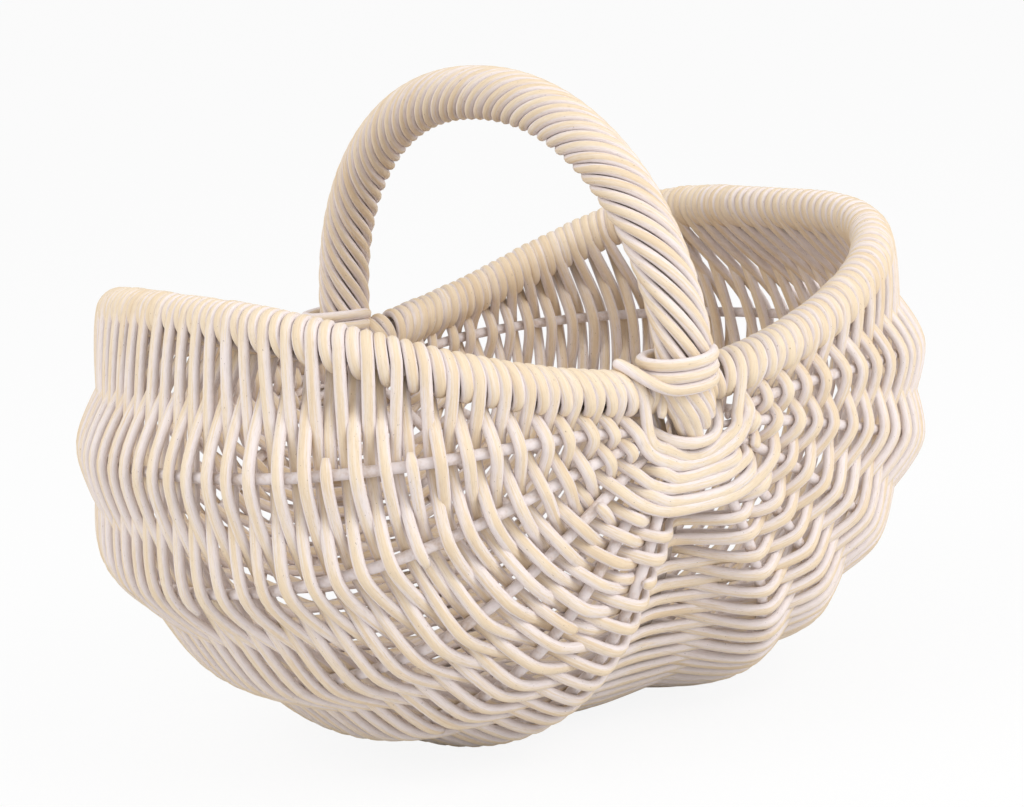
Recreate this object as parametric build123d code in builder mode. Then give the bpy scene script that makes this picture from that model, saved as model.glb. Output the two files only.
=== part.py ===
from build123d import *
import math
import os

# A ribbed wicker basket with two rounded cheeks and a fixed handle over the middle.
# Millimetres, +Z up, +X along the basket. The origin is on the ground under the middle.
# The near ear is at -Y and the far ear at +Y, where the handle hoop crosses the rim.

# Rim: one peeled rod bent to a rounded oblong that rises towards both ends
rim_half_length = 180
rim_half_width = 152
rim_rod_radius = 5
rim_rise = 53.5
rim_end_power = 3.1
rim_side_power = 3.7
rim_rise_power = 1.74
rim_dent_reach = 26
rim_pass_gap = 0.8

# Hoop: one rod that is the handle above the rim and the keel below it
hoop_half_width = 158
ear_height = 184
handle_rise = 139.6
handle_round_power = 2.13
handle_core_radius = 8.6
handle_foot_radius = 9
handle_foot_taper = 12
handle_foot_reach = 120
hoop_ear_radius = 6
keel_half_width = 6.5
keel_half_thickness = 2.6
keel_bottom_height = 8
keel_width_power = 0.7
keel_drop_power = 2.2
foot_length = 34

# Ribs: five on each side, whittled to points near the ears
rib_radius = 2.75
rib_tip_radius = 1.7
rib_tip_length = 30
rib_plane_half_width = 154
rib_start_radius = 30
rib_start_angles = [-38, -47, -56, -65, -74]
rib_spread_power = 0.61
rib_half_lengths = [217, 211.5, 170, 121, 71.3]
upper_rib_height_shares = [0.939, 0.612, 0.314, 0.125]

# Weave: flattened rods worked over and under the ribs, one row beside the next
strand_thickness = 4.75
weave_middle_thickness = 5.4
rim_wrap_radius = 12.3
rim_weave_half_height = 8
base_flat_depth = 0.8
panel_start_share = 0.06
panel_row_count = 83
weave_ear_reach = 22.5

# Handle covering: rods laid side by side round the core, with a slow twist
handle_rod_count = 10
handle_rod_radius = 2.5
handle_rod_angle = 40
handle_rod_foot_angle = 28
handle_rod_stop = 7.5

# Bindings round the feet of the handle
binding_rod_radius = 2.9
binding_tilt = 6
binding_start_height = 4
binding_slack = 1.2
near_binding_turns = 3
far_binding_turns = 2

# First rows of the weave, which pass outside the ribs in arcs below each ear
ear_strand_radius = 2.6
ear_strand_count = 5
ear_first_radius = 17.5
ear_strand_span = 80

# Cut rod ends that lie over each crossing, below the binding
tail_count = 4
tail_radius = 2.2
tail_lean = 32
tail_drop = 15

# Fits
clearance = 0.3
turn_gap = 0.5
panel_gap = 0.5
butt_gap = 0.3
wrap_facet_share = 1.02
rim_notch_half_height = 4

# Fineness of the lofts
surface_samples = 720
rod_station_pitch = 9
twist_stations = 31
twist_samples = 12
span_stations = 12


def signed_power(value, power):
    """A power that keeps the sign of its base."""
    return math.copysign(abs(value) ** power, value)


def eased(share):
    """A share of half a turn, stepping finely beside each quarter."""
    quarter = math.floor(share * 2)
    part = share * 2 - quarter
    return (quarter + part * part * (3 - 2 * part)) / 2


def walk(points, shares):
    """Points at the given shares of a polyline's length, with the tangent at each."""
    lengths = [0]
    for before, after in zip(points, points[1:]):
        lengths.append(lengths[-1] + (after - before).length)
    found = []
    place = 0
    for share in shares:
        wanted = share * lengths[-1]
        while place < len(points) - 2 and lengths[place + 1] < wanted:
            place += 1
        step = lengths[place + 1] - lengths[place]
        part = (wanted - lengths[place]) / step if step else 0
        spot = points[place] + (points[place + 1] - points[place]) * part
        low, high = max(place - 1, 0), min(place + 2, len(points) - 1)
        found.append((spot, (points[high] - points[low]).normalized()))
    return found


def polyline_length(points):
    """Length of a polyline."""
    return sum((after - before).length for before, after in zip(points, points[1:]))


def even_shares(count, low=0.0, high=1.0):
    """Evenly spread shares from low to high."""
    return [low + (high - low) * i / (count - 1) for i in range(count)]


def rim_core_half_width():
    """Where the rim's middle line lies as it passes inside the hoop."""
    return hoop_half_width - hoop_ear_radius - rim_pass_gap - rim_rod_radius


def rim_points(start, end):
    """The rim's middle line between two turns about Z, from the near ear, in half turns."""
    dent = rim_half_width - rim_core_half_width()
    points = []
    for share in even_shares(surface_samples, start, end):
        angle = math.pi * (eased(share) - 0.5)
        x = rim_half_length * signed_power(math.cos(angle), 2 / rim_end_power)
        y = rim_half_width * signed_power(math.sin(angle), 2 / rim_side_power)
        pull = dent * math.exp(-((x / rim_dent_reach) ** 2))
        y -= math.copysign(pull, y) if abs(y) > rim_half_width / 2 else 0
        z = ear_height + rim_rise * abs(x / rim_half_length) ** rim_rise_power
        points.append(Vector(x, y, z))
    return points


def handle_points():
    """The handle's middle line from the far ear to the near ear."""
    points = []
    for share in even_shares(surface_samples):
        angle = math.pi * share
        y = hoop_half_width * signed_power(math.cos(angle), 2 / handle_round_power)
        z = ear_height + handle_rise * signed_power(math.sin(angle), 2 / handle_round_power)
        points.append(Vector(0, y, z))
    return points


def keel_points():
    """The keel's middle line from the near ear to the far ear."""
    drop = ear_height - keel_bottom_height
    points = []
    for share in even_shares(surface_samples):
        angle = math.pi * (eased(share) - 0.5)
        y = hoop_half_width * signed_power(math.sin(angle), keel_width_power)
        z = ear_height - drop * max(math.cos(angle), 0) ** keel_drop_power
        points.append(Vector(0, y, z))
    return points


def rib_middle(rib, side):
    """A rib's point halfway between the ears."""
    rib_5_height = rib_radius + strand_thickness - base_flat_depth
    heights = [share * ear_height for share in upper_rib_height_shares] + [rib_5_height]
    return Vector(side * rib_half_lengths[rib], 0, heights[rib])


def rib_points(rib, side):
    """A rib's middle line from near ear to far ear, fanned out as it leaves the ear."""
    middle = rib_middle(rib, side) - Vector(0, 0, ear_height)
    reach = middle.length
    end_angle = math.degrees(math.atan2(middle.Z, abs(middle.X)))
    points = []
    for share in even_shares(surface_samples):
        turn = math.pi * (eased(share) - 0.5)
        spread = max(math.cos(turn), 0) ** rib_spread_power
        radius = rib_start_radius + (reach - rib_start_radius) * spread
        settle = (rib_start_radius / radius) ** 2
        angle = math.radians(end_angle + (rib_start_angles[rib] - end_angle) * settle)
        points.append(
            Vector(
                side * radius * math.cos(angle),
                rib_plane_half_width * math.sin(turn),
                ear_height + radius * math.sin(angle),
            )
        )
    return points


def places_along(points, side_axis, count, low=0.0, high=1.0):
    """Spots, tangents and side directions for a rod's sections along a polyline."""
    places = []
    for spot, tangent in walk(points, even_shares(count, low, high)):
        side = side_axis - tangent * side_axis.dot(tangent)
        places.append((spot, tangent, side.normalized()))
    return places


def tube(places, radii, mode=Mode.ADD):
    """Lofts a rod through round or oval sections, one span of sections after another."""
    sections = []
    for (spot, tangent, side), (wide, deep) in zip(places, radii):
        with BuildSketch(Plane(origin=spot, x_dir=side, z_dir=tangent)) as section:
            Ellipse(wide, deep)
        sections.append(section.sketch.face())
    for first in range(0, len(sections) - 1, span_stations):
        loft(sections=sections[first : first + span_stations + 1], mode=mode)


def member_lines(side):
    """The lines that one side's weave runs across: rim, five ribs, keel and the next rib."""
    rim = [spot for spot in rim_points(0, 1) if spot.X > rib_start_radius]
    rim = [Vector(side * spot.X, spot.Y, spot.Z) for spot in rim]
    keel = [spot for spot in keel_points() if spot.Z < ear_height - rib_start_radius]
    ribs = [rib_points(rib, side) for rib in range(len(rib_half_lengths))]
    return [rim] + ribs + [keel, rib_points(len(rib_half_lengths) - 1, -side)]


def turned(vector, plane):
    """Direction of a vector within a plane, as two local numbers."""
    x, y = vector.dot(plane.x_dir), vector.dot(plane.y_dir)
    size = math.hypot(x, y)
    return x / size, y / size


def edge_over_rim(top, bottom):
    """The weave's edge under the rim's wraps, from below the rim to above it."""
    radius = (rim_wrap_radius + clearance) * wrap_facet_share
    heights = [-bottom, -rim_notch_half_height, 0, rim_notch_half_height, top]
    return [(math.sqrt(radius**2 - height**2), height) for height in heights]


def edge_over_rib(top, bottom):
    """The weave's edge over a rib, with a notch round it, from below to above."""
    inset = panel_gap / 2
    notch = (rib_radius + clearance) * math.sqrt(2)
    return [(inset, -bottom), (inset, -notch), (notch, 0), (inset, notch), (inset, top)]


def edge_beside_keel(top, bottom):
    """The weave's edge along the keel's flank, from below to above."""
    flank = keel_half_width + clearance
    return [(flank, -bottom), (flank, top)]


def row_section(here, there, tangent, out_here, out_there, side, number, outside):
    """One row of the weave between two members, outside one of them and inside the other."""
    chord = there - here
    square = (tangent - chord * (tangent.dot(chord) / chord.dot(chord))).normalized()
    plane = Plane(origin=here, x_dir=chord.normalized(), z_dir=square * -side)
    over = rib_radius + strand_thickness
    under = (rib_radius + clearance) * math.sqrt(2) + clearance
    heights = (over, under) if outside else (under, over)
    if number == 0:
        rim_heights = rim_weave_half_height, rim_notch_half_height + clearance
        edge_here = edge_over_rim(*(rim_heights if outside else rim_heights[::-1]))
        near_x, near_y = 0, 1
    else:
        edge_here = edge_over_rib(*heights)
        near_x, near_y = turned(out_here, plane)
    if number == len(rib_half_lengths):
        keel_heights = keel_half_thickness, keel_half_thickness + strand_thickness
        edge_there = edge_beside_keel(*(keel_heights if outside else keel_heights[::-1]))
    else:
        edge_there = edge_over_rib(*heights[::-1])
    far_x, far_y = turned(out_there, plane)
    outline = [(near_x * h + near_y * x, near_y * h - near_x * x) for x, h in edge_here]
    back = [
        (chord.length + far_x * h - far_y * x, far_y * h + far_x * x) for x, h in edge_there[::-1]
    ]
    thin = weave_middle_thickness / 2
    middle = ((outline[-1][0] + back[0][0]) / 2, thin)
    lower_middle = ((outline[0][0] + back[-1][0]) / 2, -thin)
    with BuildSketch(plane) as section:
        with BuildLine():
            Polyline(*outline, middle, *back, lower_middle, close=True)
        make_face()
    return section.sketch.face()


def weave_panel(lines, number, side):
    """Lofts the weave's rows between one member and the next, from ear to ear."""
    shares = even_shares(panel_row_count, panel_start_share, 1 - panel_start_share)
    places = [walk(line, shares) for line in lines]
    middle_row = panel_row_count // 2
    sections = []
    for row in range(panel_row_count):
        spots = [place[row][0] for place in places]
        tangents = [place[row][1] for place in places]

        def out_at(member):
            """The wall's outward direction at a member, square to it."""
            spread = spots[member + 1] - spots[member - 1]
            return (tangents[member].cross(spread) * -side).normalized()

        sections.append(
            row_section(
                spots[number],
                spots[number + 1],
                tangents[number] + tangents[number + 1],
                out_at(number) if number else None,
                out_at(number + 1),
                side,
                number,
                (row - middle_row + number) % 2 == 1,
            )
        )
    loft(sections=sections, ruled=True)


os.makedirs("parts", exist_ok=True)
along = Vector(1, 0, 0)
across = Vector(0, 1, 0)
up = Vector(0, 0, 1)


# Rim core, butted under the near ear
rim_line = rim_points(0, 2)
rim_butt_share = butt_gap / 2 / polyline_length(rim_line)
rim_stations = round(polyline_length(rim_line) / rod_station_pitch)
with BuildPart() as rim_hoop:
    tube(
        places_along(rim_line, up, rim_stations, rim_butt_share, 1 - rim_butt_share),
        [(rim_rod_radius, rim_rod_radius)] * rim_stations,
    )
rim_hoop.part.label = "rim_hoop"
export_step(rim_hoop.part, "parts/rim_hoop.step")


# Handle and keel in one hoop, butted at the bottom of the keel
keel_line = keel_points()
half = len(keel_line) // 2
middle_of_keel = (keel_line[half - 1] + keel_line[half]) / 2
hoop_line = (
    [middle_of_keel] + keel_line[half:-1] + handle_points() + keel_line[1:half] + [middle_of_keel]
)
hoop_length = polyline_length(hoop_line)
handle_length = polyline_length(handle_points())
hoop_butt_share = butt_gap / 2 / hoop_length
hoop_stations = round(hoop_length / rod_station_pitch)


def core_radius(from_ear):
    """The handle core: slim at the ear, thickest just above it, easing to the middle."""
    swollen = min(from_ear / handle_foot_taper, 1)
    eased_off = min(max(from_ear - handle_foot_taper, 0) / handle_foot_reach, 1)
    radius = hoop_ear_radius + swollen * (handle_foot_radius - hoop_ear_radius)
    return radius + eased_off * (handle_core_radius - handle_foot_radius)


def hoop_section(share):
    """Round in the handle and a flat oval in the keel."""
    beyond = abs(share - 0.5) * hoop_length - handle_length / 2
    if beyond < 0:
        return core_radius(-beyond), core_radius(-beyond)
    flat = min(beyond / foot_length, 1)
    wide = hoop_ear_radius + flat * (keel_half_width - hoop_ear_radius)
    deep = hoop_ear_radius + flat * (keel_half_thickness - hoop_ear_radius)
    return wide, deep


with BuildPart() as handle_hoop:
    hoop_shares = even_shares(hoop_stations, hoop_butt_share, 1 - hoop_butt_share)
    tube(
        places_along(hoop_line, along, hoop_stations, hoop_butt_share, 1 - hoop_butt_share),
        [hoop_section(share) for share in hoop_shares],
    )
handle_hoop.part.label = "handle_hoop"
export_step(handle_hoop.part, "parts/handle_hoop.step")


# Ribs, whittled at both ends, and the weave panels between them
sides = {"left": -1, "right": 1}
panel_names = ["rim_to_rib_1", "rib_1_to_2", "rib_2_to_3", "rib_3_to_4", "rib_4_to_5", "rib_5_to_keel"]
for side_name, side in sides.items():
    lines = member_lines(side)
    for rib in range(len(rib_half_lengths)):
        rib_line = lines[rib + 1]
        rib_length = polyline_length(rib_line)
        rib_stations = round(rib_length / rod_station_pitch / 2)
        rib_plane_normal = (rib_middle(rib, side) - Vector(0, 0, ear_height)).cross(across)
        rib_radii = []
        for share in even_shares(rib_stations):
            grown = min(min(share, 1 - share) * rib_length / rib_tip_length, 1)
            rib_radii.append(rib_tip_radius + (rib_radius - rib_tip_radius) * grown)
        with BuildPart() as one_rib:
            tube(
                places_along(rib_line, rib_plane_normal, rib_stations),
                [(radius, radius) for radius in rib_radii],
            )
        one_rib.part.label = f"rib_{side_name}_{rib + 1}"
        export_step(one_rib.part, f"parts/rib_{side_name}_{rib + 1}.step")
    for number, panel_name in enumerate(panel_names):
        with BuildPart() as panel:
            weave_panel(lines, number, side)
            split(bisect_by=Plane.XY, keep=Keep.TOP)
        panel.part.label = f"weave_{side_name}_{panel_name}"
        export_step(panel.part, f"parts/weave_{side_name}_{panel_name}.step")


# Wraps over the rim: a sleeve of turned-back weaving rods on each quarter
quarter_line = [spot for spot in rim_points(0, 0.5) if spot.X > weave_ear_reach]
quarter_length = polyline_length(quarter_line)
wrap_stations = round(quarter_length / rod_station_pitch)
ears = {"near": -1, "far": 1}
for ear_name, ear in ears.items():
    for side_name, side in sides.items():
        line = [Vector(side * spot.X, -ear * spot.Y, spot.Z) for spot in quarter_line]
        places = places_along(line, up, wrap_stations, 0, 1 - butt_gap / 2 / quarter_length)
        bore = rim_rod_radius + clearance
        with BuildPart() as rim_wrap:
            tube(places, [(rim_wrap_radius, rim_wrap_radius)] * wrap_stations)
            tube(places, [(bore, bore)] * wrap_stations, mode=Mode.SUBTRACT)
        rim_wrap.part.label = f"rim_wrap_{ear_name}_{side_name}"
        export_step(rim_wrap.part, f"parts/rim_wrap_{ear_name}_{side_name}.step")


def handle_rod_places(number):
    """Spots and directions of a covering rod, which turns round the core from ear to ear."""
    low = handle_rod_stop / handle_length
    shares = even_shares((twist_stations - 1) * twist_samples + 1, low, 1 - low)
    turn = math.tau * number / handle_rod_count
    before = low
    spots = []
    for share, (spot, tangent) in zip(shares, walk(handle_points(), shares)):
        from_ear = min(share, 1 - share) * handle_length
        eased_off = min(from_ear / handle_foot_reach, 1)
        lay = handle_rod_foot_angle + eased_off * (handle_rod_angle - handle_rod_foot_angle)
        radius = core_radius(from_ear) + clearance + handle_rod_radius
        turn += math.tan(math.radians(lay)) * (share - before) * handle_length / radius
        before = share
        out = tangent.cross(along) * math.cos(turn) + along * math.sin(turn)
        spots.append(spot + out * radius)
    places = []
    for station in range(0, len(spots), twist_samples):
        ahead, behind = min(station + 1, len(spots) - 1), max(station - 1, 0)
        places.append((spots[station], (spots[ahead] - spots[behind]).normalized()))
    return places


def tangent_arcs(here, leaving, there, arriving):
    """Draws two arcs between two spots, leaving and arriving in the given directions."""
    chord = there - here
    both = leaving + arriving
    lean = chord.dot(both)
    root = math.sqrt(lean**2 + (4 - both.dot(both)) * chord.dot(chord))
    reach = chord.dot(chord) / (lean + root)
    corners = here + leaving * reach, there - arriving * reach
    middle = (corners[0] + corners[1]) / 2
    for start, corner, end in ((here, corners[0], middle), (middle, corners[1], there)):
        weight = (end - start).length / 2 / reach
        ThreePointArc(start, ((start + end) / 2 + corner * weight) / (1 + weight), end)


# Handle covering
for number in range(handle_rod_count):
    places = handle_rod_places(number)
    with BuildPart() as handle_rod:
        with BuildLine() as twist:
            for (here, leaving), (there, arriving) in zip(places, places[1:]):
                tangent_arcs(here, leaving, there, arriving)
        with BuildSketch(Plane(origin=places[0][0], x_dir=along, z_dir=places[0][1])):
            Circle(handle_rod_radius)
        sweep(path=twist.line)
    handle_rod.part.label = f"handle_rod_{number + 1:02d}"
    export_step(handle_rod.part, f"parts/handle_rod_{number + 1:02d}.step")


# Bindings: one rod coiled round each foot of the handle, from the left side
binding_pitch = 2 * binding_rod_radius + turn_gap
covered_foot_radius = handle_foot_radius + clearance + 2 * handle_rod_radius
binding_radius = covered_foot_radius + clearance + binding_rod_radius + binding_slack
binding_turns = {"near": near_binding_turns, "far": far_binding_turns}
tilt = math.radians(binding_tilt)
for ear_name, ear in ears.items():
    turns = binding_turns[ear_name]
    outward = across * ear
    axis = up * math.cos(tilt) + outward * math.sin(tilt)
    front = outward * math.cos(tilt) - up * math.sin(tilt)
    coil_middle = binding_start_height + turns * binding_pitch / 2
    foot = across * ear * hoop_half_width + up * (ear_height + coil_middle)
    bulge = math.hypot(binding_radius, binding_pitch / 4)
    with BuildPart() as handle_binding:
        with BuildLine() as coil:
            for half_turn in range(2 * turns):
                way = 1 if half_turn % 2 == 0 else -1
                level = foot + axis * (binding_pitch * (half_turn - turns) / 2)
                ThreePointArc(
                    level - along * way * binding_radius,
                    level + axis * (binding_pitch / 4) + front * way * bulge,
                    level + axis * (binding_pitch / 2) + along * way * binding_radius,
                )
        with BuildSketch(Plane(origin=coil.line @ 0, x_dir=along, z_dir=coil.line % 0)):
            Circle(binding_rod_radius)
        sweep(path=coil.line)
    samples = [coil.line @ share for share in even_shares(surface_samples)]
    turn_samples = surface_samples // turns
    least = min(
        (there - here).length
        for place, here in enumerate(samples)
        for there in samples[place + turn_samples // 2 :]
    )
    print(ear_name, "binding's least gap to itself", round(least - 2 * binding_rod_radius, 3))
    handle_binding.part.label = f"handle_binding_{ear_name}"
    export_step(handle_binding.part, f"parts/handle_binding_{ear_name}.step")


# First rows of the weave below each ear, side by side on the ribs' points
ear_strand_pitch = 2 * ear_strand_radius + clearance
ear_reach = ear_first_radius + (ear_strand_count - 1) * ear_strand_pitch + ear_strand_radius
tip_growth = min(max(ear_reach - rib_start_radius, 0) / rib_tip_length, 1)
rib_there = rib_tip_radius + tip_growth * (rib_radius - rib_tip_radius)
ear_plane_half_width = rib_plane_half_width + rib_there + clearance + ear_strand_radius
under_rim = rim_wrap_radius + clearance + ear_strand_radius
beside_wrap = weave_ear_reach - clearance - ear_strand_radius
for ear_name, ear in ears.items():
    for number in range(ear_strand_count):
        radius = ear_first_radius + number * ear_strand_pitch
        below = math.acos(min(under_rim / radius, 1))
        beside = math.asin(min(beside_wrap / radius, 1))
        span = min(max(below, beside), math.radians(ear_strand_span))
        centre = across * ear * ear_plane_half_width + up * ear_height
        reach = along * radius * math.sin(span)
        drop = up * radius * math.cos(span)
        with BuildPart() as ear_strand:
            with BuildLine() as arc:
                ThreePointArc(centre - reach - drop, centre - up * radius, centre + reach - drop)
            with BuildSketch(Plane(origin=arc.line @ 0, x_dir=across, z_dir=arc.line % 0)):
                Circle(ear_strand_radius)
            sweep(path=arc.line)
        ear_strand.part.label = f"ear_strand_{ear_name}_{number + 1}"
        export_step(ear_strand.part, f"parts/ear_strand_{ear_name}_{number + 1}.step")


# Cut rod ends over each crossing, side by side and leaning to the right going down
lean = math.radians(tail_lean)
rod_end_dip = handle_rod_radius * math.sin(math.radians(handle_rod_foot_angle))
tail_end_rise = tail_radius * math.sin(lean)
tail_top = handle_rod_stop - rod_end_dip - tail_end_rise - clearance
tail_step = (2 * tail_radius + clearance) / math.cos(lean)
tail_offset = hoop_ear_radius + clearance + tail_radius
binding_bore = binding_radius - binding_rod_radius - clearance - tail_radius
first_aside = -math.sqrt(binding_bore**2 - tail_offset**2)
down = along * math.sin(lean) - up * math.cos(lean)
for ear_name, ear in ears.items():
    for number in range(tail_count):
        aside = first_aside + number * tail_step
        top = across * ear * (hoop_half_width + tail_offset) + along * aside
        top += up * (ear_height + tail_top)
        with BuildPart() as ear_tail:
            with BuildSketch(Plane(origin=top, x_dir=across, z_dir=down)):
                Circle(tail_radius)
            extrude(amount=(tail_top + tail_drop) / math.cos(lean))
        ear_tail.part.label = f"ear_tail_{ear_name}_{number + 1}"
        export_step(ear_tail.part, f"parts/ear_tail_{ear_name}_{number + 1}.step")
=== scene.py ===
import math
from types import SimpleNamespace

import bpy
import numpy as np
from mathutils import Matrix, Vector


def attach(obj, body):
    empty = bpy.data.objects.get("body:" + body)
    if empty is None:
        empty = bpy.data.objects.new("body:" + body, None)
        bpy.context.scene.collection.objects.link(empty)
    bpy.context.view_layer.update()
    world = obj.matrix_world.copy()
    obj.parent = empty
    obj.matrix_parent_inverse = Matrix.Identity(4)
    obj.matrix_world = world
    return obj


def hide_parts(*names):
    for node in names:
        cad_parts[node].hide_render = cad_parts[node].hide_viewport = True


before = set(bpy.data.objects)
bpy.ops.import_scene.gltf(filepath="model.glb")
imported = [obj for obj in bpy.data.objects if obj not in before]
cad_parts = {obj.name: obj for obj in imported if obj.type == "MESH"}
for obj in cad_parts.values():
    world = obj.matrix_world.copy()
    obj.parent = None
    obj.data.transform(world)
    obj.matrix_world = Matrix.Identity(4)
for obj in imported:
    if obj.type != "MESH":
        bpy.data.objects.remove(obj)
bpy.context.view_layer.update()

# Rim hoop and handle hoop. Each is one stout peeled rod, steamed and bent: the first is the core
# of the rim, the second is the core of the handle and runs on below the ears as the flat keel
# that the two cheeks hang from. They have greyed, and the whitewash has stayed in their grain.


class Wire:
    """One output in a material's nodes. Arithmetic on it adds Math nodes."""

    def __init__(self, tree, socket=None):
        self.tree = tree
        self.socket = socket

    def node(self, kind, settings=None, inputs=None, output=0):
        """Adds a node: its settings first, then the values or links of its sockets."""
        made = self.tree.nodes.new(kind)
        for name, value in (settings or {}).items():
            setattr(made, name, value)
        for name, value in (inputs or {}).items():
            if isinstance(value, Wire):
                self.tree.links.new(value.socket, made.inputs[name])
            else:
                made.inputs[name].default_value = value
        return Wire(self.tree, made.outputs[output])

    def math(self, operation, *values):
        """One Math node on these values."""
        settings = {"operation": operation}
        return self.node("ShaderNodeMath", settings, dict(enumerate(values)))

    def __add__(self, other):
        return self.math("ADD", self, other)

    def __sub__(self, other):
        return self.math("SUBTRACT", self, other)

    def __rsub__(self, other):
        return self.math("SUBTRACT", other, self)

    def __mul__(self, other):
        return self.math("MULTIPLY", self, other)

    __radd__ = __add__
    __rmul__ = __mul__

    def between(self, low, high):
        """How far a value is from low to high, eased, and held at 0 and 1 outside."""
        settings = {"interpolation_type": "SMOOTHSTEP"}
        inputs = {"Value": self, "From Min": low, "From Max": high}
        return self.node("ShaderNodeMapRange", settings, inputs)

    def blend(self, first, second):
        """A colour from first to second, by this value."""
        factor_in, first_in, second_in, colour_out = 0, 6, 7, 2
        inputs = {factor_in: self, first_in: first, second_in: second}
        return self.node("ShaderNodeMix", {"data_type": "RGBA"}, inputs, colour_out)

    def noise(self, scale, detail):
        """Cloudy noise over this place."""
        inputs = {"Vector": self, "Scale": scale, "Detail": detail}
        return self.node("ShaderNodeTexNoise", {}, inputs)

    def stretched(self, scales):
        """This place with each of its three parts multiplied."""
        settings = {"operation": "MULTIPLY"}
        return self.node("ShaderNodeVectorMath", settings, {0: self, 1: scales})


dull_sheen = 0.3
wood_grain_height = 0.0003


def new_material(name):
    """An empty node material and a wire that starts its tree."""
    material = bpy.data.materials.new(name)
    material.use_nodes = True
    return material, Wire(material.node_tree)


def finish_material(colour, roughness, bump, bump_height):
    """Wires a colour, a roughness and a bump to the shader of their material."""
    shader = colour.tree.nodes["Principled BSDF"]
    height = {"Height": bump, "Strength": 1.0, "Distance": bump_height}
    normal = colour.node("ShaderNodeBump", {}, height)
    colour.tree.links.new(colour.socket, shader.inputs["Base Color"])
    colour.tree.links.new(roughness.socket, shader.inputs["Roughness"])
    colour.tree.links.new(normal.socket, shader.inputs["Normal"])
    shader.inputs["Specular IOR Level"].default_value = dull_sheen


def washed_wood(name, bare, wash, fibre_scale, blotch_scale, wash_reach):
    """Bare wood with whitewash left in its grain and in blotches."""
    material, start = new_material(name)
    place = start.node("ShaderNodeTexCoord", output="Object")
    fibres = place.noise(fibre_scale, 3.0)
    blotches = place.noise(blotch_scale, 3.0)
    washed = (fibres * 0.5 + blotches * 0.6).between(*wash_reach)
    finish_material(washed.blend(bare, wash), 0.6 + fibres * 0.25, fibres, wood_grain_height)
    return material


def paint(node, material):
    """Gives a CAD node its material."""
    for slot in node.material_slots:
        slot.material = material


grey_brown = (0.42, 0.34, 0.28, 1.0)
chalky = (0.62, 0.56, 0.53, 1.0)
greyed_wood = washed_wood("greyed_wood", grey_brown, chalky, 900.0, 60.0, (0.35, 0.75))
for hoop in ("rim_hoop", "handle_hoop"):
    paint(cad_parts[hoop], greyed_wood)

# Ribs. Five to a side, split from thicker rods and whittled to points that are pushed in beside
# the ears. The whitewash is thickest on them, because the weave kept it from being rubbed off.

under_wash = (0.60, 0.48, 0.40, 1.0)
thick_wash = (0.78, 0.71, 0.70, 1.0)
whitened_wood = washed_wood("whitened_wood", under_wash, thick_wash, 420.0, 70.0, (0.3, 0.62))
for name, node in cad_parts.items():
    if name.startswith("rib_"):
        paint(node, whitened_wood)

# Weave. Peeled willow rods worked over and under the ribs from each ear to the middle. At the
# rim a rod turns round it one and a half times, which leaves a long strand and a short wrap by
# turns, and comes back as the next row. Where a rod runs out, its end is tucked in behind a rib
# and the next rod's cut end stands over that rib.

rng = np.random.default_rng(seed=7)
ear_height = 0.184
hoop_half_width = 0.158
hoop_ear_radius = 0.006
rim_half_length = 0.180
rim_half_width = 0.152
rim_rise = 0.0535
rim_core_radius = 0.005
rim_end_power = 3.1
rim_side_power = 3.7
rim_rise_power = 1.74
rim_dent_reach = 0.026
rim_pass_gap = 0.0008
rib_half_lengths = [0.217, 0.2115, 0.170, 0.121, 0.0713]
upper_rib_height_shares = [0.939, 0.612, 0.314, 0.125]
lowest_rib_height = 0.0067
rib_heights = [share * ear_height for share in upper_rib_height_shares] + [lowest_rib_height]
rib_start_angles = [-38, -47, -56, -65, -74]
rib_start_radius = 0.030
rib_half_width = 0.154
rib_spread_power = 0.61
rib_radius = 0.00275
keel_bottom = 0.008
keel_half_thickness = 0.0026
keel_width_power = 0.7
keel_drop_power = 2.2
line_samples = 3001


def signed_power(values, power):
    """A power that keeps the sign of its base."""
    return np.sign(values) * np.abs(values) ** power


def eased_turn():
    """Turns from the near ear to the far ear, with fine steps at the ears and the middle."""
    share = np.linspace(0, 2, line_samples)
    quarter = np.minimum(np.floor(share), 1)
    part = share - quarter
    return math.pi / 2 * (quarter + part * part * (3 - 2 * part))


def rim_line():
    """The right half of the rim, from the near ear to the far ear."""
    turn = eased_turn()
    x = rim_half_length * np.sin(turn).clip(0) ** (2 / rim_end_power)
    dent = rim_half_width - (hoop_half_width - hoop_ear_radius - rim_pass_gap - rim_core_radius)
    y = -rim_half_width * signed_power(np.cos(turn), 2 / rim_side_power)
    y -= np.sign(y) * dent * np.exp(-((x / rim_dent_reach) ** 2))
    z = ear_height + rim_rise * (x / rim_half_length) ** rim_rise_power
    return np.stack([x, y, z], axis=1)


def keel_line():
    """The keel, from the near ear to the far ear."""
    turn = eased_turn()
    y = -hoop_half_width * signed_power(np.cos(turn), keel_width_power)
    z = ear_height - (ear_height - keel_bottom) * np.sin(turn).clip(0) ** keel_drop_power
    return np.stack([0 * y, y, z], axis=1)


def rib_line(rib):
    """One of the right half's ribs, from its point beside the near ear to the far ear."""
    turn = eased_turn()
    drop = rib_heights[rib] - ear_height
    reach = math.hypot(rib_half_lengths[rib], drop)
    end_angle = math.degrees(math.atan2(drop, rib_half_lengths[rib]))
    spread = np.sin(turn).clip(0) ** rib_spread_power
    radius = rib_start_radius + (reach - rib_start_radius) * spread
    settle = (rib_start_radius / radius) ** 2
    angle = np.radians(end_angle + (rib_start_angles[rib] - end_angle) * settle)
    y = -rib_half_width * np.cos(turn)
    return np.stack([radius * np.cos(angle), y, ear_height + radius * np.sin(angle)], axis=1)


middle_row = 46
first_row_share = 0.087
keel_first_row_share = 0.088
keel_row_power = 0.9
rim_skew = 0.06
mirror_x = np.array([-1.0, 1.0, 1.0])
mirror_y = np.array([1.0, -1.0, 1.0])


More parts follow.
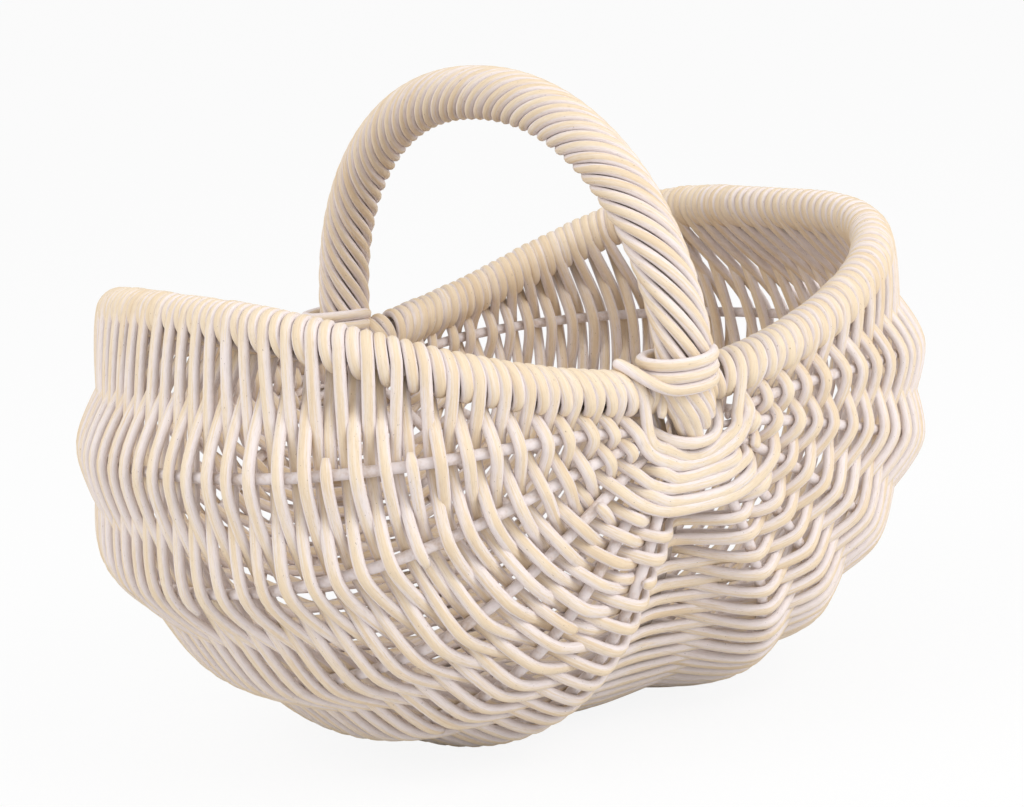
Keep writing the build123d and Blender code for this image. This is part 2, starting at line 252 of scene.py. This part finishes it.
def lengths_along(line):
    """The length along a line at each of its points."""
    steps = np.linalg.norm(np.diff(line, axis=0), axis=1)
    return np.concatenate([[0], np.cumsum(steps)])


def spot_along(line, lengths, length):
    """The spot at a length along a line."""
    return np.array([np.interp(length, lengths, line[:, k]) for k in range(3)])


class Member:
    """One line that the rows cross: half of the rim, a rib or the keel.

    Its start is how far from the ear's middle it begins. First and power space the rows along
    it, and skew spaces those of the near half wider than those of the far half.
    """

    def __init__(self, line, start, radius, first=first_row_share, power=1.0, skew=0.0):
        self.line = line
        self.start = start
        self.radius = radius
        self.first = first
        self.power = power
        self.skew = skew
        self.lengths = lengths_along(line)
        self.half_length = start + self.lengths[-1] / 2

    def length_at(self, row, ear):
        """How far along this member a row crosses it, from the member's start at the ear."""
        share = self.first + (1 - self.first) * signed_power(row / middle_row, self.power)
        share += -ear * self.skew * share**2
        return share * self.half_length - self.start

    def at(self, row, ear):
        """The spot where a row crosses this member."""
        spot = spot_along(self.line, self.lengths, self.length_at(row, ear))
        return spot if ear < 0 else spot * mirror_y


right_lines = [rib_line(rib) for rib in range(len(rib_half_lengths))]
right_ribs = [Member(line, rib_start_radius, rib_radius) for line in right_lines]
left_ribs = [Member(line * mirror_x, rib_start_radius, rib_radius) for line in right_lines]
keel = Member(keel_line(), 0.0, keel_half_thickness, keel_first_row_share, keel_row_power)
right_rim = Member(rim_line(), 0.0, rim_core_radius, skew=rim_skew)
left_rim = Member(rim_line() * mirror_x, 0.0, rim_core_radius, skew=rim_skew)
members = [left_rim] + left_ribs + [keel] + right_ribs[::-1] + [right_rim]
last = len(members) - 1
keel_place = last // 2

rod_thickness = 0.0050
rod_gap = 0.0002
tangent_rows = 0.4
least_length = 0.002
stray = 0.10
quarter_row = 0.25
bridged_rows = 7
bridged_reach = 2
covering_rows = 3
grouped_rows = 12
ear_lift = 0.0095
ear_lift_rows = 5
span_steps = 12
bend_reach = 0.7
bridge_reach = 1.15
ear_rounding = 0.35
ear_rounding_rows = 14
wrap_out = 0.0086
wrap_up = 0.0096
wrap_stray = 0.015
wrap_wear = 0.9
wrap_angle = 540
wrap_steps = 40


def unit(vector):
    """A vector of length 1."""
    return vector / np.linalg.norm(vector)


def wall_frame(place, row, ear):
    """A member's spot, the wall's outward normal there, and the way across the wall."""
    member = members[place]
    ahead = member.at(row + tangent_rows, ear) - member.at(row - tangent_rows, ear)
    low, high = max(place - 1, 0), min(place + 1, last)
    across = unit(members[high].at(row, ear) - members[low].at(row, ear))
    out = unit(np.cross(across, ahead)) * ear
    return member.at(row, ear), out, across


def passes_outside(row, place):
    """Whether a row lies outside a member.

    The first rows cover the ribs' points and the keel. The next rows take the keel and the two
    ribs beside it as one.
    """
    if row < bridged_rows and abs(place - keel_place) <= bridged_reach:
        return True
    if row < covering_rows and place not in (0, last):
        return True
    if place == keel_place and row < grouped_rows:
        return passes_outside(row, place + 1)
    return (row + place) % 2 == 1


def passes_by(row, place, ear):
    """Whether a row leaves a member out.

    Just below an ear that is the keel, where the ribs beside it carry the row, and every rib
    whose point lies further down.
    """
    beside_keel = members[keel_place - 1].length_at(row, ear) > least_length
    if place == keel_place and row < bridged_rows and beside_keel:
        return True
    return members[place].length_at(row, ear) < least_length


def row_knots(row, ear):
    """Where a row crosses its members, with the wall's outward normal and the rod's way there."""
    knots = []
    lean = rng.normal(0, stray)
    for place, member in enumerate(members):
        if place in (0, last):
            arriving = (row % 2 == 1) == (place == 0)
            shift = -quarter_row if arriving else quarter_row
            lift = wrap_out
        else:
            shift = lean + rng.normal(0, stray)
            lift = member.radius + rod_thickness / 2 + rod_gap
        if passes_by(row, place, ear):
            continue
        if place == keel_place:
            lift += ear_lift * max(0, 1 - row / ear_lift_rows)
        spot, out, across = wall_frame(place, row + shift, ear)
        side = 1 if passes_outside(row, place) else -1
        spot = spot + out * lift * side
        knots.append(SimpleNamespace(spot=spot, out=out, way=across, place=place))
    for before, here, after in zip(knots, knots[1:-1], knots[2:]):
        way = unit(after.spot - before.spot)
        here.way = unit(way + here.way) if here.place == keel_place else unit(way)
    return knots


def bent_between(start, end, leaving, arriving, t):
    """A spot on the bend from start to end, with a pull at each."""
    return (
        start * (2 * t**3 - 3 * t**2 + 1)
        + end * (3 * t**2 - 2 * t**3)
        + leaving * (t**3 - 2 * t**2 + t)
        + arriving * (t**3 - t**2)
    )


def row_path(row, ear):
    """A row's course from rim to rim, and the step at which it meets each member.

    A course is a list of steps, each with its spot, the rod's crest there and its wear.
    """
    knots = row_knots(row, ear)
    rounding = bend_reach + ear_rounding * max(0, 1 - row / ear_rounding_rows)
    course, marks = [], {}
    for here, there in zip(knots, knots[1:]):
        marks[here.place] = len(course)
        skipped = there.place - here.place - 1
        pull = bridge_reach if skipped > 1 else rounding
        reach = np.linalg.norm(there.spot - here.spot) * pull
        for step in range(span_steps):
            t = step / span_steps
            spot = bent_between(here.spot, there.spot, here.way * reach, there.way * reach, t)
            course.append((spot, here.out * (1 - t) + there.out * t, (2 * t - 1) ** 2))
    course.append((knots[-1].spot, knots[-1].out, 1.0))
    return course, marks


def rim_turn(place, row, ear, first_angle, last_angle):
    """A rod's turns round the rim, stepping one row along it per turn."""
    course = []
    size = rng.normal(1.0, wrap_stray)
    steps = round(wrap_steps * abs(last_angle - first_angle) / wrap_angle)
    for angle in np.linspace(first_angle, last_angle, steps + 1)[1:-1]:
        here = row + abs(angle - first_angle) / 360
        spot, out, across = wall_frame(place, here, ear)
        up = across if across[2] > 0 else -across
        cos = math.cos(math.radians(angle))
        sin = math.sin(math.radians(angle))
        spot = spot + size * (-out * wrap_out * cos + up * wrap_up * sin)
        course.append((spot, out * cos - up * sin, wrap_wear))
    return course


right_first_row = -3.0
right_first_angles = (180, 1010)
left_first_row = -1.75
left_first_angles = (180, -540)
first_end_drops = (0.015, 0.002)
first_end_steps = 6
join_overlap = 2
tuck_steps = 9
tuck_depth = 0.0105

# Each row in which a rod runs out, with the place of the rib where the next rod begins
joins = {4: 9, 8: 3, 12: 5, 17: 4, 20: 1, 21: 2, 26: 1, 29: 8, 33: 4, 37: 10, 41: 2, 44: 7}


def tucked(course, inward):
    """A rod's course with its last steps bent in behind the rib where the next rod begins."""
    kept, bent = course[:-tuck_steps], []
    for step, (spot, crest, wear) in enumerate(course[-tuck_steps:]):
        t = (step + 1) / tuck_steps
        bent.append((spot + inward * crest * tuck_depth * t * t * (3 - 2 * t), crest, wear))
    return kept + bent


def rods_of_half(ear):
    """The courses of the rods of one half of the weave.

    A short rod covers the right rim beside the ear. The next rod's end hangs down outside the
    left rim, and the rod turns round it to begin the first row.
    """
    rods = [rim_turn(last, right_first_row, ear, *right_first_angles)]
    spot, out, across = wall_frame(0, left_first_row, ear)
    drops = np.linspace(*first_end_drops, first_end_steps)
    course = [(spot + out * wrap_out + across * drop, out, 1.0) for drop in drops]
    course += rim_turn(0, left_first_row, ear, *left_first_angles)
    row_total = middle_row + 1 if ear < 0 else middle_row
    for row in range(row_total):
        even = row % 2 == 0
        row_course, marks = row_path(row, ear)
        join_place = joins.get(row)
        if not even:
            row_course = [(spot, -crest, wear) for spot, crest, wear in row_course[::-1]]
        if join_place is not None:
            mark = marks[join_place] if even else len(row_course) - 1 - marks[join_place]
            inward = -1 if even else 1
            rods.append(course + tucked(row_course[: mark + join_overlap], inward))
            course = []
            row_course = row_course[mark - join_overlap :]
        course += row_course
        place, first_angle = (last, 0) if even else (0, 180)
        last_angle = first_angle + wrap_angle if even else first_angle - wrap_angle
        course += rim_turn(place, row - quarter_row, ear, first_angle, last_angle)
    rods.append(course)
    return rods


ring_sides = 10
end_shares = (0.6, 0.93)
floor_gap = 0.0001
grain_length = 50


def tube_mesh(name, course, widths, thickness, tone):
    """A piece that is one rod: its course, its widths from end to end, its thickness and tone."""
    spots, crests, wear = [np.array(part, dtype=float) for part in zip(*course)]
    count = len(spots)
    ways = np.gradient(spots, axis=0)
    ways /= np.linalg.norm(ways, axis=1, keepdims=True)
    crests = crests - ways * np.sum(crests * ways, axis=1, keepdims=True)
    crests /= np.linalg.norm(crests, axis=1, keepdims=True)
    sides = np.cross(ways, crests)
    shrink = np.ones(count)
    shrink[0] = shrink[-1] = end_shares[0]
    shrink[1] = shrink[-2] = end_shares[1]
    wide = np.broadcast_to(np.asarray(widths, dtype=float), (count,)) * shrink / 2
    thick = shrink * thickness / 2
    angles = np.linspace(0, 2 * math.pi, ring_sides, endpoint=False)
    rings = (
        spots[:, None]
        + crests[:, None] * (thick[:, None] * np.cos(angles))[:, :, None]
        + sides[:, None] * (wide[:, None] * np.sin(angles))[:, :, None]
    )
    rings[:, :, 2] = np.maximum(rings[:, :, 2], floor_gap)
    ring_starts = ring_sides * np.arange(count - 1)[:, None]
    first = ring_starts + np.arange(ring_sides)
    second = ring_starts + (np.arange(ring_sides) + 1) % ring_sides
    quads = np.stack([first, second, second + ring_sides, first + ring_sides], axis=-1)
    faces = quads.reshape(-1, 4).tolist()
    faces.append(list(range(ring_sides - 1, -1, -1)))
    end = ring_sides * (count - 1)
    faces.append(list(range(end, end + ring_sides)))
    mesh = bpy.data.meshes.new(name)
    mesh.from_pydata(rings.reshape(-1, 3).tolist(), [], faces)
    lengths = rng.uniform(0, grain_length) + lengths_along(spots)
    around = np.tile(np.stack([np.cos(angles), np.sin(angles)], axis=1), (count, 1))
    along = np.repeat(lengths, ring_sides)[:, None]
    for label, kind, field, values in (
        ("rod_space", "FLOAT_VECTOR", "vector", np.concatenate([around, along], axis=1)),
        ("tone", "FLOAT", "value", np.full(count * ring_sides, tone)),
        ("wear", "FLOAT", "value", np.repeat(wear, ring_sides)),
    ):
        attribute = mesh.attributes.new(label, kind, "POINT")
        attribute.data.foreach_set(field, values.astype(np.float32).ravel())
    mesh.shade_smooth()
    mesh.update()
    piece = bpy.data.objects.new(name, mesh)
    bpy.context.scene.collection.objects.link(piece)
    return piece


cream_tan = (0.78, 0.65, 0.48, 1.0)
warm_tan = (0.71, 0.55, 0.37, 1.0)
lilac_wash = (0.79, 0.71, 0.69, 1.0)
grain_brown = (0.50, 0.41, 0.34, 1.0)
speck_brown = (0.16, 0.09, 0.05, 1.0)
fibre_scales = (9.0, 9.0, 260.0)
strand_scales = (3.5, 3.5, 34.0)
cloud_scales = (0.8, 0.8, 24.0)
speck_scales = (4.0, 4.0, 600.0)
willow_grain_height = 0.00025


def willow(name, wash_reach):
    """Peeled willow: tan on the rubbed crests, whitewash left along both edges."""
    material, start = new_material(name)
    rod = start.node("ShaderNodeAttribute", {"attribute_name": "rod_space"}, output="Vector")
    tone = start.node("ShaderNodeAttribute", {"attribute_name": "tone"}, output="Fac")
    wear = start.node("ShaderNodeAttribute", {"attribute_name": "wear"}, output="Fac")
    split = start.node("ShaderNodeSeparateXYZ", {}, {"Vector": rod})
    crest = split.math("ABSOLUTE", split)
    fibres = rod.stretched(fibre_scales).noise(1.0, 3.0)
    strands = rod.stretched(strand_scales).noise(1.0, 2.0)
    clouds = rod.stretched(cloud_scales).noise(1.0, 2.0)
    specks = rod.stretched(speck_scales).noise(1.0, 1.0)
    tan = (strands * 0.6 + clouds * 0.5 + tone * 0.25 - 0.2).between(0.3, 0.8)
    tan = tan.blend(cream_tan, warm_tan)
    rubbed = crest + (wear - 1) * 0.16 + (strands - 0.5) * 0.7 + (clouds - 0.5) * 1.0
    rubbed = (rubbed + (fibres - 0.5) * 0.4).between(*wash_reach)
    colour = rubbed.blend(lilac_wash, tan)
    colour = (fibres.between(0.52, 0.70) * 0.30).blend(colour, grain_brown)
    colour = (specks.between(0.74, 0.80) * 0.6).blend(colour, speck_brown)
    bump = fibres * 0.6 + strands * 0.4
    finish_material(colour, 0.5 + fibres * 0.25, bump, willow_grain_height)
    return material


least_width = 0.0054
most_width = 0.0068
stoutest_shares = (0.3, 0.7)
slimming_power = 0.8
weave_willow = willow("weave_willow", (0.42, 0.92))
weave_nodes = [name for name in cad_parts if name.startswith(("weave_", "rim_wrap_"))]
for ear, ear_name in ((-1, "near"), (1, "far")):
    ear_nodes = [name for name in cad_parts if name.startswith(f"ear_strand_{ear_name}")]
    for number, course in enumerate(rods_of_half(ear)):
        shares = np.linspace(0, 1, len(course))
        slimming = np.abs(shares - rng.uniform(*stoutest_shares)) ** slimming_power
        widths = most_width + (least_width - most_width) * slimming
        name = f"weave_{ear_name}_{number + 1}"
        piece = tube_mesh(name, course, widths, rod_thickness, rng.uniform(0, 1))
        piece.data.materials.append(weave_willow)
        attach(piece, "root")
        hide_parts(*weave_nodes, *ear_nodes)

# Handle covering. Ten long rods lie side by side round the core with a slow twist, so the grip
# is ribbed like a rope. They are held at both feet by the bindings.

handle_rise = 0.1396
handle_round_power = 2.13
handle_rod_count = 10
handle_rod_radius = 0.00265
handle_width_shares = (0.97, 1.05)
handle_core_radius = 0.0086
handle_foot_radius = 0.009
handle_foot_reach = 0.120
handle_stop = 0.0075
handle_lay = 40
handle_foot_lay = 28
handle_steps = 300
tangent_reach = 0.001
handle_willow = willow("handle_willow", (0.48, 1.0))


def handle_line():
    """The hoop's middle line over the handle, from the far ear to the near ear."""
    turn = np.linspace(0, math.pi, line_samples)
    power = 2 / handle_round_power
    y = hoop_half_width * signed_power(np.cos(turn), power)
    z = ear_height + handle_rise * np.sin(turn).clip(0) ** power
    return np.stack([0 * y, y, z], axis=1)


hoop_path = handle_line()
hoop_lengths = lengths_along(hoop_path)
handle_length = hoop_lengths[-1]


def handle_spot(length):
    """A spot on the hoop's middle line and the way along it."""
    behind, spot, ahead = [
        spot_along(hoop_path, hoop_lengths, length + shift)
        for shift in (-tangent_reach, 0, tangent_reach)
    ]
    return spot, unit(ahead - behind)


def handle_rod(number):
    """The course of one covering rod, from the far foot to the near foot.

    At a foot the core is thicker and the rods lie straighter, and both ease to the middle.
    """
    turn = 2 * math.pi * number / handle_rod_count
    sideways = np.array([1, 0, 0])
    course = []
    before = handle_stop
    for length in np.linspace(handle_stop, handle_length - handle_stop, handle_steps):
        spot, way = handle_spot(length)
        from_ear = min(length, handle_length - length)
        eased = min(from_ear / handle_foot_reach, 1)
        lay = math.radians(handle_foot_lay + eased * (handle_lay - handle_foot_lay))
        core = handle_foot_radius + eased * (handle_core_radius - handle_foot_radius)
        radius = core + handle_rod_radius
        turn += math.tan(lay) * (length - before) / radius
        before = length
        out = np.cross(way, sideways) * math.cos(turn) + sideways * math.sin(turn)
        course.append((spot + out * radius, out, 1.0))
    return course


for number in range(handle_rod_count):
    width = 2 * handle_rod_radius * rng.uniform(*handle_width_shares)
    tone = rng.uniform(0, 1)
    name = f"handle_rod_{number + 1:02d}"
    piece = tube_mesh(name + "_willow", handle_rod(number), width, 2 * handle_rod_radius, tone)
    piece.data.materials.append(handle_willow)
    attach(piece, "root")
    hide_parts(name)

# Tails. Below the binding the covering rods run on over the crossing of the two hoops. On the
# outside three are tucked behind the first row of the weave and three are cut off short. On the
# inside four lie over the rim.

# How far a tail's middle line lies from the hoop's, at heights above and below the ear
tail_radii = [(-0.024, 0.0062), (-0.017, 0.0085), (-0.008, 0.0108), (0.002, 0.0117)]
inner_tail_radii = [(-0.016, 0.0165), (-0.004, 0.0185), (0.004, 0.0165), (0.014, 0.0117)]

# The angle round the hoop and the height where each tail begins, and those where it ends
tail_ends = [
    (-98, 0.012, -68, -0.0240),
    (-80, 0.012, -30, -0.0255),
    (-62, 0.012, -6, -0.0255),
    (-38, 0.010, 22, -0.0190),
    (-10, 0.010, 46, -0.0145),
    (20, 0.010, 68, -0.0115),
]
inner_tail_ends = [
    (-52, 0.012, -40, -0.026),
    (-30, 0.012, -12, -0.026),
    (-6, 0.012, 20, -0.024),
    (20, 0.012, 52, -0.024),
]
tail_width = 0.0058
tail_steps = 24
tail_turn_power = 1.2
tail_shift = 0.003
tail_lean = 0.2
tail_sinking = 0.0035
tail_sink_start = -0.012
tail_sink_length = 0.012


def tail_course(ear, inner, start_angle, start_height, end_angle, end_height):
    """A tail's course on the foot of the handle."""
    radii = inner_tail_radii if inner else tail_radii
    side = -ear if inner else ear
    course = []
    for t in np.linspace(0, 1, tail_steps):
        height = start_height + (end_height - start_height) * t
        angle = math.radians(start_angle + (end_angle - start_angle) * t**tail_turn_power)
        radius = np.interp(height, *zip(*radii))
        out = np.array([math.sin(angle), side * math.cos(angle), 0])
        below = min(max((tail_sink_start - height) / tail_sink_length, 0), 1)
        sunk = 0 if inner else tail_sinking * below
        aside = -tail_shift if inner else tail_lean * max(-height, 0) - tail_shift
        foot = np.array([aside, ear * (hoop_half_width - sunk), ear_height + height])
        course.append((foot + out * radius, out, 1.0))
    return course


for ear, ear_name in ((-1, "near"), (1, "far")):
    tail_nodes = [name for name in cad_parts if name.startswith(f"ear_tail_{ear_name}")]
    courses = [tail_course(ear, False, *ends) for ends in tail_ends]
    courses += [tail_course(ear, True, *ends) for ends in inner_tail_ends]
    for number, course in enumerate(courses):
        name = f"tail_{ear_name}_{number + 1}"
        piece = tube_mesh(name, course, tail_width, 2 * handle_rod_radius, rng.uniform(0, 1))
        piece.data.materials.append(handle_willow)
        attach(piece, "root")
        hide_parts(*tail_nodes)

# Bindings. One rod is coiled round each foot of the handle, over the covering rods. It starts
# from a tail that lies over the rim, and its last end is tucked in under the coil.

binding_rod = 0.0060
binding_radius = 0.0170
binding_pitch = 0.0060
binding_start = 0.0035
binding_tilt = math.radians(6)
binding_join = 0.16
binding_shift = 0.0055
binding_turn_steps = 48
binding_tone = 0.4
binding_tail_row = 2.0
binding_tail_lift = 0.0052
binding_tail_pull = 0.02
binding_tail_steps = 24
sideways = np.array([1, 0, 0])
upward = np.array([0, 0, 1.0])
for ear, ear_name, turns, last_turn in ((-1, "near", 3, 2.75), (1, "far", 2, 2.3)):
    outward = np.array([0, ear, 0])
    axis = upward * math.cos(binding_tilt) + outward * math.sin(binding_tilt)
    front = outward * math.cos(binding_tilt) - upward * math.sin(binding_tilt)
    middle = binding_start + turns * binding_pitch / 2
    foot = outward * hoop_half_width + upward * (ear_height + middle) - sideways * binding_shift
    coil = []
    for turn in np.linspace(binding_join, last_turn, turns * binding_turn_steps):
        angle = 2 * math.pi * turn
        out = -sideways * math.cos(angle) + front * math.sin(angle)
        spot = foot + axis * binding_pitch * (turn - turns / 2) + out * binding_radius
        coil.append((spot, out, 1.0))
    first_spot, first_crest, _ = coil[0]
    tail_end = left_rim.at(binding_tail_row, ear) + upward * (wrap_up + binding_tail_lift)
    reach = np.linalg.norm(first_spot - tail_end)
    leaving = unit(first_spot - tail_end + outward * binding_tail_pull) * reach
    arriving = unit(coil[1][0] - first_spot) * reach
    tail = []
    for t in np.linspace(0, 1, binding_tail_steps, endpoint=False):
        spot = bent_between(tail_end, first_spot, leaving, arriving, t)
        tail.append((spot, first_crest * t + upward * (1 - t), 1.0))
    name = f"handle_binding_{ear_name}"
    piece = tube_mesh(name + "_willow", tail + coil, binding_rod, binding_rod, binding_tone)
    piece.data.materials.append(handle_willow)
    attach(piece, "root")
    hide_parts(name)

# Floor and backdrop. A plain white sheet that keeps a faint shadow.

floor_size = 80
paper_white = (0.8, 0.8, 0.8, 1)
pure_white = (1, 1, 1, 1)
glow_share = 0.9
bpy.ops.mesh.primitive_plane_add(size=floor_size, location=(0, 0, 0))
floor = bpy.context.object
floor.name = "floor"
paper, start = new_material("white_paper")
looking = start.node("ShaderNodeLightPath", output="Is Camera Ray")
glow = start.node("ShaderNodeEmission", {}, {"Color": pure_white, "Strength": 1.0})
matte = start.node("ShaderNodeBsdfDiffuse", {}, {"Color": paper_white})
sheet = start.node("ShaderNodeMixShader", {}, {0: looking * glow_share, 1: matte, 2: glow})
output = paper.node_tree.nodes["Material Output"]
paper.node_tree.links.new(sheet.socket, output.inputs["Surface"])
floor.data.materials.append(paper)

# Light. An even white room, a large soft lamp at the front right and a weaker one at the left.

room_light = 0.78
backdrop_light = 1.0
lamp_aim = Vector((0, 0, 0.1))
world = bpy.data.worlds.new("room")
bpy.context.scene.world = world
world.use_nodes = True
background = world.node_tree.nodes["Background"]
background.inputs["Color"].default_value = pure_white
looking = Wire(world.node_tree).node("ShaderNodeLightPath", output="Is Camera Ray")
strength = looking * (backdrop_light - room_light) + room_light
world.node_tree.links.new(strength.socket, background.inputs["Strength"])
for lamp_name, spot, power, size in (
    ("front_lamp", (0.6, -1.9, 1.4), 30, 1.6),
    ("left_lamp", (-1.6, 0.2, 1.4), 13, 1.2),
):
    lamp_data = bpy.data.lights.new(lamp_name, "AREA")
    lamp_data.energy = power
    lamp_data.size = size
    lamp = bpy.data.objects.new(lamp_name, lamp_data)
    lamp.location = spot
    lamp.rotation_euler = (lamp_aim - lamp.location).to_track_quat("-Z", "Y").to_euler()
    bpy.context.scene.collection.objects.link(lamp)

# Camera. It stands at the height and angle of the photograph.

camera_azimuth = math.radians(32.97)
camera_elevation = math.radians(12.31)
camera_distance = 1.5684
camera_target = Vector((0, 0, 0.1032))
camera_pitch = math.radians(2.10)
camera_yaw = math.radians(0.07)
camera_roll = math.radians(-5.97)
camera_lens = 105.51
camera_sensor = 36


def turned_by(first, second, angle):
    """Two crossing directions, turned in their plane from the first towards the second."""
    return (
        first * math.cos(angle) + second * math.sin(angle),
        second * math.cos(angle) - first * math.sin(angle),
    )


back = Vector((
    -math.sin(camera_azimuth) * math.cos(camera_elevation),
    -math.cos(camera_azimuth) * math.cos(camera_elevation),
    math.sin(camera_elevation),
))
ahead = -back
right = ahead.cross(Vector((0, 0, 1))).normalized()
top = right.cross(ahead)
ahead, right = turned_by(ahead, right, camera_yaw)
ahead, top = turned_by(ahead, top, camera_pitch)
right, top = turned_by(right, top, camera_roll)
camera_data = bpy.data.cameras.new("camera")
camera_data.lens = camera_lens
camera_data.sensor_width = camera_sensor
camera = bpy.data.objects.new("camera", camera_data)
facing = Matrix((right, top, -ahead)).transposed()
camera.matrix_world = Matrix.Translation(camera_target + back * camera_distance) @ facing.to_4x4()
bpy.context.scene.collection.objects.link(camera)
bpy.context.scene.camera = camera
bpy.context.scene.view_settings.view_transform = "Standard"
